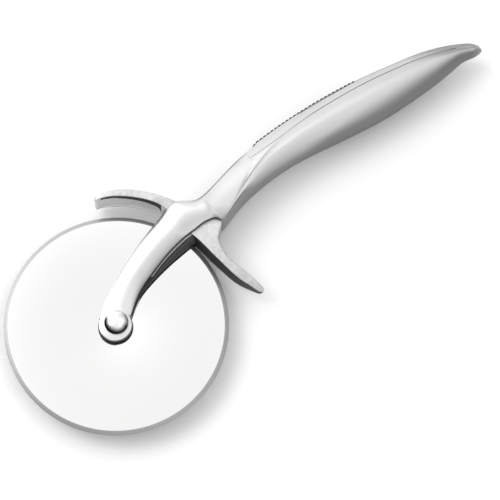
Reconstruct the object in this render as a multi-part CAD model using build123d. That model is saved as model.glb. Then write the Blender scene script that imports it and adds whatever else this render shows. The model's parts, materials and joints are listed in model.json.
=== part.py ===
import os
from math import acos, cos, degrees, radians, sin

from build123d import *

os.makedirs("parts", exist_ok=True)

# A pizza wheel lying on its side, in millimetres. The wheel turns about the vertical axis,
# +X runs from the axle to the tail of the handle and +Y points towards the handle's spine.
# Everything is drawn about the blade's middle plane and lifted at the end, so z = 0 is the
# surface that the wheel lies on and the origin is the middle of the cap nut's flat face.

# Blade
blade_diameter = 100.0
blade_thickness = 1.8
bevel_width = 1.9
edge_land = 0.25

# Hub stack on the axle
axle_diameter = 5.0
sleeve_wall = 1.2
bush_wall = 1.4
bush_flange_diameter = 14.0
bush_flange_thickness = 0.6
thrust_washer_thickness = 0.7
thrust_washer_diameter = 13.0
dome_diameter = 10.6
dome_rim_height = 0.5
dome_height = 2.9
cap_washer_diameter = 11.4
cap_washer_thickness = 1.0
cap_nut_flats = 9.6
cap_nut_height = 5.5
cap_nut_chamfer = 0.5
cap_nut_crown_depth = 1.4

# Fork ears and arms
blade_side_gap = 1.4
ear_radius = 7.5
ear_overhang = 1.0
ear_half_height = 4.7
ear_edge_round = 0.6
spotface_depth = 0.4
arm_angle = 30.0

# Handle
grip_length = 151.6
crest_height = 26.6
grip_half_width = 10.7
spine_crown = 0.3
shell_wall = 1.6

# Spine strip and thumb grip
strip_depth = 4.0
seat_lift = 0.4
bezel_half_width = 4.6
bezel_wall = 0.9
bezel_lift = 1.1
pocket_depth = 1.6
rib_pitch = 2.1
rib_height = 0.6
peg_diameter = 2.0
peg_length = 1.4
peg_pitch = 20.0
peg_count = 3

# Guard
rim_gap = 2.2
saddle_depth = 9.0
guard_half_width = 8.8
web_half_thickness = 4.5
prong_angle = 62.3
channel_wall = 1.2
channel_root_angle = 31.5
tongue_drop = 28.6
tongue_flare = 9.4

# Dowels
guard_dowel_diameter = 3.5
guard_dowel_length = 13.0
shell_dowel_diameter = 3.0
shell_dowel_length = 9.0

# Clearances, and one overrun for every cut
fit_gap = 0.05
side_gap = 0.1
overrun = 5.0

# Worked out from the sizes above
blade_radius = blade_diameter / 2
web_radius = blade_radius + rim_gap
shoulder_radius = web_radius + saddle_depth
slot_radius = (web_radius + shoulder_radius) / 2
guard_reach = shoulder_radius + tongue_flare
arm_gap_half = blade_thickness / 2 + blade_side_gap
spotface_height = ear_half_height - spotface_depth
rest_height = spotface_height + cap_washer_thickness + cap_nut_height
sleeve_radius = axle_diameter / 2 + fit_gap + sleeve_wall
bush_bore_radius = sleeve_radius + fit_gap
blade_bore_radius = bush_bore_radius + bush_wall + fit_gap

# Cross-sections of the front half, each a row of shares: how far along its span, the top
# edge, its half width, the crown of the face, the crease below the face, its half width,
# the pull of the belly outwards, and the bottom. Heights are shares of crest_height, and
# widths are shares of grip_half_width.
arm_station_shares = [
    (-0.085, 0.211, 0.374, 0.037, -0.075, 0.374, 0.336, -0.086),
    (0.016, 0.380, 0.393, 0.047, -0.143, 0.393, 0.346, -0.158),
    (0.114, 0.504, 0.421, 0.056, -0.053, 0.411, 0.364, -0.068),
    (0.229, 0.632, 0.467, 0.075, 0.113, 0.458, 0.411, 0.098),
    (0.392, 0.778, 0.561, 0.093, 0.248, 0.579, 0.505, 0.229),
    (0.588, 0.902, 0.692, 0.112, 0.335, 0.748, 0.636, 0.308),
    (0.768, 1.000, 0.785, 0.131, 0.357, 0.850, 0.729, 0.323),
    (0.879, 1.049, 0.813, 0.140, 0.338, 0.888, 0.766, 0.301),
    (0.935, 0.974, 0.794, 0.131, 0.308, 0.897, 0.776, 0.271),
]
grip_station_shares = [
    (0.000, 0.868, 0.776, 0.112, 0.274, 0.897, 0.794, 0.241),
    (0.035, 0.835, 0.757, 0.093, 0.286, 0.888, 0.822, 0.241),
    (0.080, 0.868, 0.720, 0.075, 0.380, 0.879, 0.897, 0.308),
    (0.140, 0.932, 0.673, 0.056, 0.519, 0.869, 1.028, 0.372),
    (0.190, 0.974, 0.636, 0.042, 0.635, 0.860, 1.112, 0.395),
    (0.250, 0.996, 0.598, 0.031, 0.744, 0.836, 1.187, 0.398),
    (0.340, 0.996, 0.556, 0.021, 0.812, 0.818, 1.234, 0.357),
    (0.440, 0.968, 0.537, 0.019, 0.805, 0.804, 1.252, 0.248),
    (0.540, 0.914, 0.523, 0.019, 0.756, 0.780, 1.243, 0.132),
    (0.640, 0.835, 0.505, 0.019, 0.680, 0.748, 1.206, 0.041),
    (0.740, 0.711, 0.467, 0.019, 0.568, 0.692, 1.121, 0.004),
    (0.830, 0.583, 0.430, 0.019, 0.444, 0.626, 0.981, -0.008),
    (0.910, 0.414, 0.383, 0.019, 0.282, 0.533, 0.766, 0.015),
    (0.935, 0.346, 0.355, 0.017, 0.214, 0.486, 0.664, 0.019),
    (0.960, 0.267, 0.327, 0.015, 0.139, 0.430, 0.551, -0.011),
    (0.983, 0.180, 0.280, 0.012, 0.075, 0.355, 0.421, -0.041),
    (1.000, 0.086, 0.168, 0.006, 0.034, 0.196, 0.215, -0.034),
]
belly_start_share = 0.45
belly_end_share = 0.72
pad_corner_share = 0.8

# Where along the grip these things start and end
strip_start_share = 0.215
pad_shares = (0.25, 0.44, 0.64)
pad_lift_shares = (1.0, 0.8, 0.3)
cavity_shares = (0.34, 0.83)
tail_share = 0.932

# Dowel places: the guard's as shares of the saddle's depth and degrees about the axle, the
# shells' as shares of the grip length and of crest_height
guard_dowel_depth_share = 0.5
guard_dowel_angles = (15.0, 23.0)
shell_dowel_shares = ((0.09, 0.64), (0.883, 0.165))

# The arch under the arm's shoulder: shares of the saddle's depth beyond the blade side and
# of crest_height
arch_shares = ((-0.11, 0.371), (0.79, 0.447), (1.49, 0.252))

# Long prong of the guard: shares of shoulder_radius and of prong_angle
prong_outer_shares = ((1.0, 0.30), (1.0, 0.64), (0.99, 0.86), (0.974, 0.975))
prong_tip_share = (0.951, 1.0)
prong_inner_shares = ((0.928, 0.98), (0.941, 0.86), (0.936, 0.60), (0.890, 0.42))

# Short tongue: shares of tongue_flare beyond the web radius and of tongue_drop
tongue_inner_shares = ((0.00, 0.0), (0.13, -0.27), (0.24, -0.52), (0.54, -0.81), (0.82, -0.97))
tongue_tip_share = (0.96, -1.0)
tongue_outer_shares = (
    (1.03, -0.94), (0.93, -0.80), (0.72, -0.50), (0.54, -0.19), (0.62, 0.0), (0.98, 0.157),
)

# Half width of the guard seen edge-on: shares of the prong's or the tongue's reach and of
# guard_half_width
prong_leaf_shares = ((1.0, 0.0), (0.99, 0.55), (0.955, 0.82), (0.88, 0.92), (0.6, 0.98), (0.3, 1.0))
tongue_leaf_shares = ((0.0, 1.0), (-0.28, 0.92), (-0.63, 0.72), (-0.86, 0.53), (-0.98, 0.3), (-1.02, 0.0))


class Station:
    """One cross-section of the front half, turned from shares into lengths."""

    def __init__(self, row, start, span):
        along, top, top_width, crown, crease, crease_width, belly_width, bottom = row
        self.share = along
        self.x = start + along * span
        self.top = top * crest_height
        self.top_width = top_width * grip_half_width
        self.crown = crown * grip_half_width
        self.crease = crease * crest_height
        self.crease_width = crease_width * grip_half_width
        self.belly_width = belly_width * grip_half_width
        self.bottom = bottom * crest_height

    def face(self, wall=0):
        """The closed section: spine, crowned face, belly and the middle plane."""
        spine = Vector(self.x, self.top + spine_crown, 0)
        shoulder = Vector(self.x, self.top, self.top_width - wall)
        crease = Vector(self.x, self.crease, self.crease_width - wall)
        bottom = Vector(self.x, self.bottom + wall, 0)
        middle = (shoulder + crease) / 2 + Vector(0, 0, self.crown)
        pull = self.belly_width - wall
        side = Vector(self.x, crease.Y - belly_start_share * (crease.Y - bottom.Y), pull)
        under = Vector(self.x, bottom.Y, belly_end_share * pull)
        return area(
            Line(spine, shoulder),
            ThreePointArc(shoulder, middle, crease),
            Bezier(crease, side, under, bottom),
            Line(bottom, spine),
        )


arm_stations = [Station(row, 0, shoulder_radius) for row in arm_station_shares]
grip_stations = [Station(row, shoulder_radius, grip_length) for row in grip_station_shares]


def grip_x(share):
    """Distance from the axle of a point a share of the way along the grip."""
    return shoulder_radius + share * grip_length


def polar(radius, angle):
    """A point on a circle about the axle, the angle in degrees from +X."""
    return (radius * cos(radians(angle)), radius * sin(radians(angle)))


def rod(diameter, bottom, top, at=(0, 0)):
    """A round bar along the wheel's axis between two heights."""
    bar = Cylinder(diameter / 2, top - bottom, align=(Align.CENTER, Align.CENTER, Align.MIN))
    return Pos(at[0], at[1], bottom) * bar


def ring(outer_diameter, inner_diameter, bottom, top):
    """A flat ring about the wheel's axis between two heights."""
    hole = rod(inner_diameter, bottom - overrun, top + overrun)
    return rod(outer_diameter, bottom, top) - hole


def area(*curves):
    """The flat face inside a closed chain of curves."""
    return Face(Wire([edge for curve in curves for edge in curve.edges()]))


def slab(face, half_thickness):
    """A face of the middle plane made solid to the same depth on both sides."""
    return extrude(face, half_thickness, both=True)


def front_envelope():
    """Front half of the arm and handle as one loft from the axle to the tail."""
    return loft([station.face() for station in arm_stations + grip_stations])


def full_envelope(half):
    """Both halves of the arm and handle in one solid."""
    return half + mirror(half, about=Plane.XY)


def ear():
    """Round end of the fork arm, a little past the axle."""
    centre = polar(-ear_overhang, arm_angle)
    disc = rod(2 * ear_radius, 0, ear_half_height, centre)
    return chamfer(disc.edges().sort_by(Axis.Z)[-1], ear_edge_round)


def strip_zone():
    """Room of the spine strip: all above its seat, and the whole tail."""
    start = grip_x(strip_start_share)
    tail = grip_x(tail_share)
    end = grip_x(1) + overrun
    high = crest_height + overrun
    seated = [s for s in grip_stations if cavity_shares[0] <= s.share < tail_share]
    seat = [(start, crest_height - strip_depth)] + [(s.x, s.crease + seat_lift) for s in seated]
    before, last = seated[-2:]
    slope = (last.crease - before.crease) / (last.x - before.x)
    seat.append((tail, last.crease + seat_lift + slope * (tail - last.x)))
    rest = Polyline(seat[-1], (tail, -overrun), (end, -overrun), (end, high), (start, high), seat[0])
    return slab(area(Spline(*seat), rest), grip_half_width + overrun)


def arch_points():
    """Three points of the arch under the shoulder."""
    return [(web_radius + depth * saddle_depth, height * crest_height) for depth, height in arch_shares]


def arch_zone():
    """Everything under the arch, where the guard's root shows instead of the shells."""
    start, crown, end = arch_points()
    low = -crest_height
    below = Polyline(end, (end[0], low), (start[0], low), start)
    return slab(area(ThreePointArc(start, crown, end), below), grip_half_width + overrun)


def prong_face():
    """The long prong seen along the axle."""
    def place(share):
        return polar(share[0] * shoulder_radius, share[1] * prong_angle)

    outer = [place(share) for share in prong_outer_shares]
    inner = [place(share) for share in prong_inner_shares]
    tip = place(prong_tip_share)
    return area(
        Spline(*outer),
        ThreePointArc(outer[-1], tip, inner[0]),
        Spline(*inner),
        Line(inner[-1], outer[0]),
    )


def web_face():
    """The saddle that crosses the fork behind the blade's rim."""
    start_angle = degrees(arch_points()[0][1] / web_radius) * guard_dowel_depth_share
    end_angle = prong_inner_shares[-1][1] * prong_angle
    middle_angle = (start_angle + end_angle) / 2
    near = [polar(web_radius, angle) for angle in (start_angle, middle_angle, end_angle)]
    far = [polar(shoulder_radius, angle) for angle in (end_angle, middle_angle, start_angle)]
    return area(
        ThreePointArc(*near),
        Line(near[-1], far[0]),
        ThreePointArc(*far),
        Line(far[-1], near[0]),
    )


def tongue_face():
    """The short tongue and the guard's root, up to the arch."""
    def place(share):
        return (web_radius + share[0] * tongue_flare, share[1] * tongue_drop)

    start, crown, end = arch_points()
    half_angle = degrees(start[1] / web_radius) / 2
    inner = [place(share) for share in tongue_inner_shares]
    outer = [place(share) for share in tongue_outer_shares] + [end]
    top = polar(web_radius, 2 * half_angle)
    return area(
        ThreePointArc(top, polar(web_radius, half_angle), inner[0]),
        Spline(*inner),
        ThreePointArc(inner[-1], place(tongue_tip_share), outer[0]),
        Spline(*outer),
        ThreePointArc(end, crown, start),
        Line(start, top),
    )


def leaf(wall=0):
    """The guard's outline seen edge-on, pointed at the tongue and blunt at the prong."""
    prong_reach = polar(shoulder_radius, prong_angle)[1] - wall
    half = guard_half_width - wall
    right = [(reach * prong_reach, width * half) for reach, width in prong_leaf_shares]
    right += [(reach * tongue_drop, width * half) for reach, width in tongue_leaf_shares]
    left = [(y, -z) for y, z in reversed(right)]
    near = [(0, y, z) for y, z in right]
    far = [(0, y, z) for y, z in left]
    return extrude(area(Spline(*near), Spline(*far)), shoulder_radius + overrun, dir=(1, 0, 0))


def guard_body():
    """The whole guard before the fork arms are let into it."""
    body = slab(prong_face(), guard_half_width) + slab(web_face(), guard_half_width)
    body += slab(tongue_face(), guard_half_width)
    return body & leaf()


def guard_channel():
    """Hollow of the long prong, open towards the blade's rim."""
    start = channel_root_angle
    end = prong_inner_shares[0][1] * prong_angle - degrees(channel_wall / shoulder_radius)
    outer = [(radius, share * prong_angle) for radius, share in prong_outer_shares]
    between = [(radius, angle) for radius, angle in outer if start < angle < end]
    followed = [(outer[0][0], start)] + between + [(outer[-1][0], end)]
    ceiling = [polar(radius * shoulder_radius - channel_wall, angle) for radius, angle in followed]
    mouth = [polar(blade_radius, angle) for angle in (end, (start + end) / 2, start)]
    section = area(
        Spline(*ceiling),
        Line(ceiling[-1], mouth[0]),
        ThreePointArc(*mouth),
        Line(mouth[-1], ceiling[0]),
    )
    return slab(section, guard_half_width) & leaf(channel_wall)


def pins(places, diameter, length, gap):
    """Straight pins through the middle plane, or their holes when a gap is given."""
    half_length = length / 2 + gap
    return [rod(diameter + 2 * gap, -half_length, half_length, place) for place in places]


def guard_pins(gap=0):
    """The pins that hold the guard between the fork arms."""
    radius = web_radius + guard_dowel_depth_share * saddle_depth
    places = [polar(radius, angle) for angle in guard_dowel_angles]
    return pins(places, guard_dowel_diameter, guard_dowel_length, gap)


def shell_pins(gap=0):
    """The pins that line the two shells up."""
    places = [(grip_x(along), height * crest_height) for along, height in shell_dowel_shares]
    return pins(places, shell_dowel_diameter, shell_dowel_length, gap)


def cavity():
    """Hollow of the handle's front half."""
    inside = [s for s in grip_stations if cavity_shares[0] <= s.share <= cavity_shares[1]]
    return loft([station.face(shell_wall) for station in inside])


def front_shell(envelope, blank):
    """Front half of the handle with its fork arm, before it is mirrored for the back."""
    shell = envelope + ear()
    shell -= rod(2 * slot_radius, -arm_gap_half, arm_gap_half)
    shell -= arch_zone()
    shell -= blank & rod(2 * guard_reach, -web_half_thickness, web_half_thickness)
    shell -= strip_zone()
    shell -= cavity()
    shell -= rod(axle_diameter + 2 * fit_gap, 0, rest_height)
    shell -= rod(cap_washer_diameter + 2 * side_gap, spotface_height, rest_height)
    for pin in guard_pins(fit_gap) + shell_pins(fit_gap):
        shell -= pin
    return shell


def pad_arc():
    """Line of the thumb grip: an arc through three lifted points of the spine."""
    rows = {station.share: station for station in grip_stations}
    places = [rows[share] for share in pad_shares]
    return ThreePointArc(*[(s.x, s.top + bezel_lift * share) for s, share in zip(places, pad_lift_shares)])


def pad_angle(x):
    """Where the pad's arc passes a distance from the axle, in radians about its centre."""
    arc = pad_arc()
    return acos((x - arc.arc_center.X) / arc.radius)


def pad_point(rise, angle):
    """A point that stands off the pad's arc at an angle about its centre."""
    arc = pad_arc()
    reach = arc.radius + rise
    return (arc.arc_center.X + reach * cos(angle), arc.arc_center.Y + reach * sin(angle))


def pad_outline(margin):
    """Plan of the thumb grip with its rounded ends, a margin inside the bezel."""
    start, end = grip_x(pad_shares[0]) + margin, grip_x(pad_shares[-1]) - margin
    half_width = bezel_half_width - margin
    plan = RectangleRounded(end - start, 2 * half_width, half_width * pad_corner_share)
    column = extrude(Plane.XZ * plan, 2 * crest_height, both=True)
    return Pos((start + end) / 2, 0, 0) * column


def band(low, high):
    """A strip of the middle plane that follows the pad's arc between two levels."""
    start, end = pad_angle(grip_x(pad_shares[0])), pad_angle(grip_x(pad_shares[-1]))
    middle = (start + end) / 2
    upper = [pad_point(high, angle) for angle in (start, middle, end)]
    lower = [pad_point(low, angle) for angle in (end, middle, start)]
    return area(
        ThreePointArc(*upper), Line(upper[-1], lower[0]),
        ThreePointArc(*lower), Line(lower[-1], upper[0]),
    )


def ribbed_band():
    """The same strip with a row of rounded ribs on top."""
    start, end = pad_angle(grip_x(pad_shares[0])), pad_angle(grip_x(pad_shares[-1]))
    count = round((start - end) * pad_arc().radius / rib_pitch)
    step = (end - start) / count
    ribs = []
    for index in range(count):
        valley = start + index * step
        crest = pad_point(rib_height, valley + step / 2)
        ribs.append(ThreePointArc(pad_point(0, valley), crest, pad_point(0, valley + step)))
    lower = [pad_point(-pocket_depth, angle) for angle in (end, (start + end) / 2, start)]
    sides = [Line(pad_point(0, end), lower[0]), Line(lower[-1], pad_point(0, start))]
    return area(*ribs, sides[0], ThreePointArc(*lower), sides[1])


def peg_row(radius, depth):
    """Short pegs under the thumb grip, square to the handle's length."""
    first = grip_x(pad_shares[1]) - (peg_count - 1) * peg_pitch / 2
    root = pocket_depth / 2
    pegs = []
    for index in range(peg_count):
        x = first + index * peg_pitch
        _, floor = pad_point(-pocket_depth, pad_angle(x))
        peg = Cylinder(radius, root + depth, align=(Align.CENTER, Align.CENTER, Align.MAX))
        pegs.append(Pos(x, floor + root, 0) * Rot(X=-90) * peg)
    return pegs


def spine_strip(envelope):
    """Strip that closes the handle along the spine and makes its tail, with the grip's bezel."""
    strip = envelope & strip_zone()
    strip += slab(band(-pocket_depth - spine_crown, 0), bezel_half_width) & pad_outline(0)
    strip -= slab(band(-pocket_depth, overrun), bezel_half_width) & pad_outline(bezel_wall)
    for peg in peg_row(peg_diameter / 2 + side_gap, peg_length + side_gap):
        strip -= peg
    return strip


def thumb_grip():
    """Ribbed rubber pad that lies in the strip's pocket."""
    pad = slab(ribbed_band(), bezel_half_width) & pad_outline(bezel_wall + side_gap)
    for peg in peg_row(peg_diameter / 2, peg_length):
        pad += peg
    return pad


def guard(blank, envelope):
    """The guard with the fork arms let into its sides, its channel and its dowel holes."""
    arm = envelope - arch_zone() - rod(2 * guard_reach, -overrun, web_half_thickness)
    body = blank - arm - mirror(arm, about=Plane.XY) - guard_channel()
    for pin in guard_pins(fit_gap):
        body -= pin
    return body


def blade():
    """Disc with a bevelled edge, ground from both sides."""
    half, land = blade_thickness / 2, edge_land / 2
    hole, shoulder = blade_bore_radius, blade_radius - bevel_width
    profile = Polyline(
        (hole, 0, -half), (shoulder, 0, -half), (blade_radius, 0, -land),
        (blade_radius, 0, land), (shoulder, 0, half), (hole, 0, half), (hole, 0, -half),
    )
    return revolve(area(profile), Axis.Z)


def hub_bush():
    """Flanged bush that carries the blade on the sleeve."""
    face = blade_thickness / 2
    outer = 2 * (blade_bore_radius - fit_gap)
    bush = ring(outer, 2 * bush_bore_radius, -face - bush_flange_thickness, face)
    return bush + ring(bush_flange_diameter, 2 * bush_bore_radius, face, face + bush_flange_thickness)


def hub_collar():
    """Ring pressed on the bush to hold the blade against its flange."""
    face = blade_thickness / 2
    return ring(bush_flange_diameter, 2 * blade_bore_radius, -face - bush_flange_thickness, -face)


def axle_bolt():
    """Domed bolt through both ears."""
    seat = spotface_height
    top = seat + dome_height
    rise = dome_height - dome_rim_height
    ball_radius = ((dome_diameter / 2) ** 2 + rise ** 2) / (2 * rise)
    dome = rod(dome_diameter, seat, top) & Pos(0, 0, top - ball_radius) * Sphere(ball_radius)
    return dome + rod(axle_diameter, cap_nut_crown_depth + side_gap - rest_height, seat)


def cap_nut():
    """Closed hexagon nut whose flat face the wheel lies on."""
    top, face = -(spotface_height + cap_washer_thickness), -rest_height
    hexagon = RegularPolygon(cap_nut_flats / 2, 6, major_radius=False)
    nut = Pos(0, 0, face) * extrude(hexagon, top - face)
    nut = chamfer(nut.faces().sort_by(Axis.Z)[0].edges(), cap_nut_chamfer)
    return nut - rod(axle_diameter + 2 * fit_gap, face + cap_nut_crown_depth, top + overrun)


def thrust_washer():
    """Thin plastic washer between the front ear and the hub."""
    inner = 2 * (sleeve_radius + fit_gap)
    return ring(thrust_washer_diameter, inner, arm_gap_half - thrust_washer_thickness, arm_gap_half)


def write(node, shape):
    """Lift a piece to its height above the surface and save it."""
    placed = Pos(0, 0, rest_height) * shape
    solids = placed.solids()
    export_step(solids[0] if len(solids) == 1 else Compound(children=list(solids)), f"parts/{node}.step")
    print(node, len(solids), round(placed.volume, 1))


half = front_envelope()
guard_blank = guard_body()
front = front_shell(half, guard_blank)
back = mirror(front, about=Plane.XY)
washer = thrust_washer()

write("front_shell", front)
write("back_shell", back)
write("guard", guard(guard_blank, half))
write("spine_strip", spine_strip(full_envelope(half)))
write("thumb_grip", thumb_grip())
write("axle_bolt", axle_bolt())
write("axle_sleeve", ring(2 * sleeve_radius, axle_diameter + 2 * fit_gap, -arm_gap_half, arm_gap_half))
write("cap_nut", cap_nut())
write("nut_washer", ring(
    cap_washer_diameter, axle_diameter + 2 * fit_gap,
    -spotface_height - cap_washer_thickness, -spotface_height,
))
write("front_thrust_washer", washer)
write("back_thrust_washer", mirror(washer, about=Plane.XY))
write("guard_dowels", Compound(children=guard_pins()))
write("shell_dowels", Compound(children=shell_pins()))
write("blade", blade())
write("hub_bush", hub_bush())
write("hub_collar", hub_collar())
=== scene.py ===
import json
from math import cos, pi, radians, sin

import bpy
import numpy as np
from mathutils import Matrix, Vector


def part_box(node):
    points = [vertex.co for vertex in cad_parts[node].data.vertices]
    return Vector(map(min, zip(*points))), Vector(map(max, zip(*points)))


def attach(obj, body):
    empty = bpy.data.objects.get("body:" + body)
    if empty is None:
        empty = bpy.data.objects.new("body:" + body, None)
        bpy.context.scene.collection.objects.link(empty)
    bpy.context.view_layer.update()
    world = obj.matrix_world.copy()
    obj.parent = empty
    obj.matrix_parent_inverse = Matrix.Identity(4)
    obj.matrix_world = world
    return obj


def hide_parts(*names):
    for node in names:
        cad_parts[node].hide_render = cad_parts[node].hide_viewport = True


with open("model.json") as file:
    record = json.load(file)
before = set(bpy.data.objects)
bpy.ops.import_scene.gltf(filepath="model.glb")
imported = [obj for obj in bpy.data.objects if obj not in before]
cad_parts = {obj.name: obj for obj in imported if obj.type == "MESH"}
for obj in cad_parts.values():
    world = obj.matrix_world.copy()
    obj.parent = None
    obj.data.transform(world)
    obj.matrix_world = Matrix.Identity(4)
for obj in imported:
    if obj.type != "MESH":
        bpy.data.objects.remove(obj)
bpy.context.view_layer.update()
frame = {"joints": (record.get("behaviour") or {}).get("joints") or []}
mm = 0.001

# Where the cutter lies
# It lies on its back side, with the wheel flat. The axle stands at the origin, +X runs to the
# tail of the handle and +Y to the thumb grip. Heights are given from the wheel's middle plane.
axle_height = frame["joints"][0]["pos_m"][2]

# Camera
# A long lens looks down on the wheel at a slant of about fifteen degrees, from beyond its rim
# on the side away from the handle, and is turned a little so that the handle points up right.
look_at = Vector((68.384 * mm, -9.457 * mm, axle_height))
camera_azimuth = radians(-44.436)
camera_elevation = radians(73.49)
camera_roll = radians(6.032)
camera_distance = 1000 * mm
camera_lens = 160.02

towards_camera = Vector((
    sin(camera_azimuth) * cos(camera_elevation),
    -cos(camera_azimuth) * cos(camera_elevation),
    sin(camera_elevation),
))
level = Vector((cos(camera_azimuth), sin(camera_azimuth), 0))
upright = towards_camera.cross(level)
camera_right = level * cos(camera_roll) + upright * sin(camera_roll)
camera_up = towards_camera.cross(camera_right)
lens = bpy.data.cameras.new("camera")
lens.lens, lens.sensor_width = camera_lens, 36
camera = bpy.data.objects.new("camera", lens)
bpy.context.scene.collection.objects.link(camera)
turn = Matrix((camera_right, camera_up, towards_camera)).transposed()
camera.matrix_world = Matrix.Translation(look_at + camera_distance * towards_camera) @ turn.to_4x4()
bpy.context.scene.camera = camera
bpy.context.scene.view_settings.view_transform = "Standard"

# Floor and light
# A white table in a pale room of large soft boxes. Two small bright ones, beyond the far side and
# its left, give the long soft shadow towards the near right.
floor_half = 3.0
floor_white = (0.93, 0.93, 0.93, 1)
lamp_place = Vector((-0.25, 0.9, 1.5))
lamp_size = 0.9
lamp_power = 1.5
# Each soft box: azimuth and elevation in degrees, brightness, and how tightly it is bounded.
soft_boxes = (
    (0, 90, 0.45, 8), (0, 52, 1.05, 8), (120, 52, 1.25, 8), (180, 52, 0.35, 8),
    (240, 52, 0.60, 8), (300, 52, 0.65, 8), (45, 14, 1.0, 8), (90, 14, 1.5, 8),
    (275, 16, 0.95, 8), (118, 50, 3.6, 30), (62, 50, 1.3, 30),
)
room_glow = 0.02


class Value:
    """A shader number that ordinary arithmetic turns into Math nodes."""

    def __init__(self, tree, socket):
        self.tree, self.socket = tree, socket

    def math(self, operation, *others):
        """A Math node of this value and up to two more values or numbers."""
        node = self.tree.nodes.new("ShaderNodeMath")
        node.operation = operation
        for place, other in zip(node.inputs, (self, *others)):
            connect(self.tree, place, other)
        return Value(self.tree, node.outputs[0])

    def __add__(self, other):
        return self.math("ADD", other)

    def __sub__(self, other):
        return self.math("SUBTRACT", other)

    def __mul__(self, other):
        return self.math("MULTIPLY", other)

    def __truediv__(self, other):
        return self.math("DIVIDE", other)

    def __rsub__(self, other):
        return (self * -1) + other

    __radd__ = __add__
    __rmul__ = __mul__

    def power(self, other):
        return self.math("POWER", other)

    def step(self, low, high):
        """0 below low, 1 above high, and a smooth slope between them."""
        node = self.tree.nodes.new("ShaderNodeMapRange")
        node.interpolation_type = "SMOOTHSTEP"
        connect(self.tree, node.inputs[0], self)
        node.inputs[1].default_value, node.inputs[2].default_value = low, high
        return Value(self.tree, node.outputs[0])


def connect(tree, place, value):
    """Puts a value, a socket or a plain number or colour into a node's input."""
    if isinstance(value, Value):
        tree.links.new(value.socket, place)
    elif isinstance(value, bpy.types.NodeSocket):
        tree.links.new(value, place)
    else:
        place.default_value = value


class Finish:
    """The node tree of one material or of the room's light."""

    def __init__(self, tree):
        self.tree = tree

    def node(self, kind, settings=(), **sockets):
        """A node of a kind, with its settings made first and then its sockets filled."""
        made = self.tree.nodes.new("ShaderNode" + kind)
        for name, value in dict(settings).items():
            setattr(made, name, value)
        for name, value in sockets.items():
            connect(self.tree, made.inputs[name.replace("_", " ")], value)
        return made

    def value(self, socket):
        return Value(self.tree, socket)

    def mix(self, share, first, second):
        """A colour between two colours."""
        made = self.tree.nodes.new("ShaderNodeMix")
        made.data_type = "RGBA"
        connect(self.tree, made.inputs[0], share)
        connect(self.tree, made.inputs[6], first)
        connect(self.tree, made.inputs[7], second)
        return made.outputs[2]

    def places(self):
        """The three Object coordinates, in metres in the row's frame."""
        where = self.node("TexCoord").outputs["Object"]
        parts = self.node("SeparateXYZ", Vector=where)
        return where, [self.value(out) for out in parts.outputs]


def new_finish(name, **sockets):
    """A material with one Principled shader, its constant sockets filled."""
    material = bpy.data.materials.new(name)
    material.use_nodes = True
    finish = Finish(material.node_tree)
    shader = finish.tree.nodes["Principled BSDF"]
    for socket, value in sockets.items():
        shader.inputs[socket.replace("_", " ")].default_value = value
    return material, finish, shader


def add_mesh(name, points, faces, material=None, painted_shading=None):
    """A mesh of points and faces, smooth except over its hard edges, placed by its own vertices.
    A value per point, kept as a mesh attribute, sets how much painted shade, and on the guard painted light,
    the point gets."""
    mesh = bpy.data.meshes.new(name)
    mesh.from_pydata([tuple(p) for p in points], [], [tuple(f) for f in faces])
    mesh.polygons.foreach_set("use_smooth", np.ones(len(mesh.polygons), bool))
    mesh.set_sharp_from_angle(angle=radians(38))
    if painted_shading is not None:
        mesh.attributes.new("painted_shading", "FLOAT", "POINT").data.foreach_set("value", painted_shading.astype(np.float32))
    mesh.update()
    made = bpy.data.objects.new(name, mesh)
    bpy.context.scene.collection.objects.link(made)
    if material:
        mesh.materials.append(material)
    return made


corners = [(-floor_half, -floor_half, 0), (floor_half, -floor_half, 0),
           (floor_half, floor_half, 0), (-floor_half, floor_half, 0)]
floor = add_mesh("table_top", corners, [(0, 1, 2, 3)])
white, _, _ = new_finish("white_table", Base_Color=floor_white, Roughness=0.9)
floor.data.materials.append(white)

lamp_data = bpy.data.lights.new("soft_lamp", "AREA")
lamp_data.size, lamp_data.energy = lamp_size, lamp_power
lamp = bpy.data.objects.new("soft_lamp", lamp_data)
bpy.context.scene.collection.objects.link(lamp)
aim = (look_at - lamp_place).to_track_quat("-Z", "Y")
lamp.matrix_world = Matrix.Translation(lamp_place) @ aim.to_matrix().to_4x4()

room = bpy.data.worlds.new("room")
room.use_nodes = True
bpy.context.scene.world = room
room_finish = Finish(room.node_tree)
background = room_finish.tree.nodes["Background"]
background.inputs["Color"].default_value = (1, 1, 1, 1)
sight = room_finish.node("TexCoord").outputs["Generated"]
glow = room_glow
for azimuth, elevation, brightness, tightness in soft_boxes:
    turn_to, lift = radians(azimuth), radians(elevation)
    faced = room_finish.node("VectorMath", {"operation": "DOT_PRODUCT"})
    connect(room.node_tree, faced.inputs[0], sight)
    faced.inputs[1].default_value = (cos(turn_to) * cos(lift), sin(turn_to) * cos(lift), sin(lift))
    near = room_finish.value(faced.outputs["Value"]).math("MAXIMUM", 0.0)
    glow = near.power(tightness) * brightness + glow
connect(room.node_tree, background.inputs["Strength"], glow)

# Handle halves and fork arms
# Two mirrored castings of satin-plated alloy. Each is one long swept form: a round ear at the
# axle, a crowned fork arm, the shoulder over the guard, the neck, and a full belly to the tail.
crest_height = 26.6 * mm
grip_half_width = 10.7 * mm
spine_crown = 0.3 * mm
shoulder_radius = 61.2 * mm
grip_length = 151.6 * mm
web_radius = 52.2 * mm
arm_gap_half = 2.3 * mm
ear_radius = 7.5 * mm
ear_middle = (-0.87 * mm, -0.5 * mm)
ear_half_height = 5.05 * mm
ear_edge_round = 0.3 * mm
spotface_radius = 5.8 * mm
spotface_height = 5.0 * mm
seat_lift = 0.4 * mm
strip_start_share = 0.215
strip_depth = 4.0 * mm
tail_share = 0.932
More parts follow.
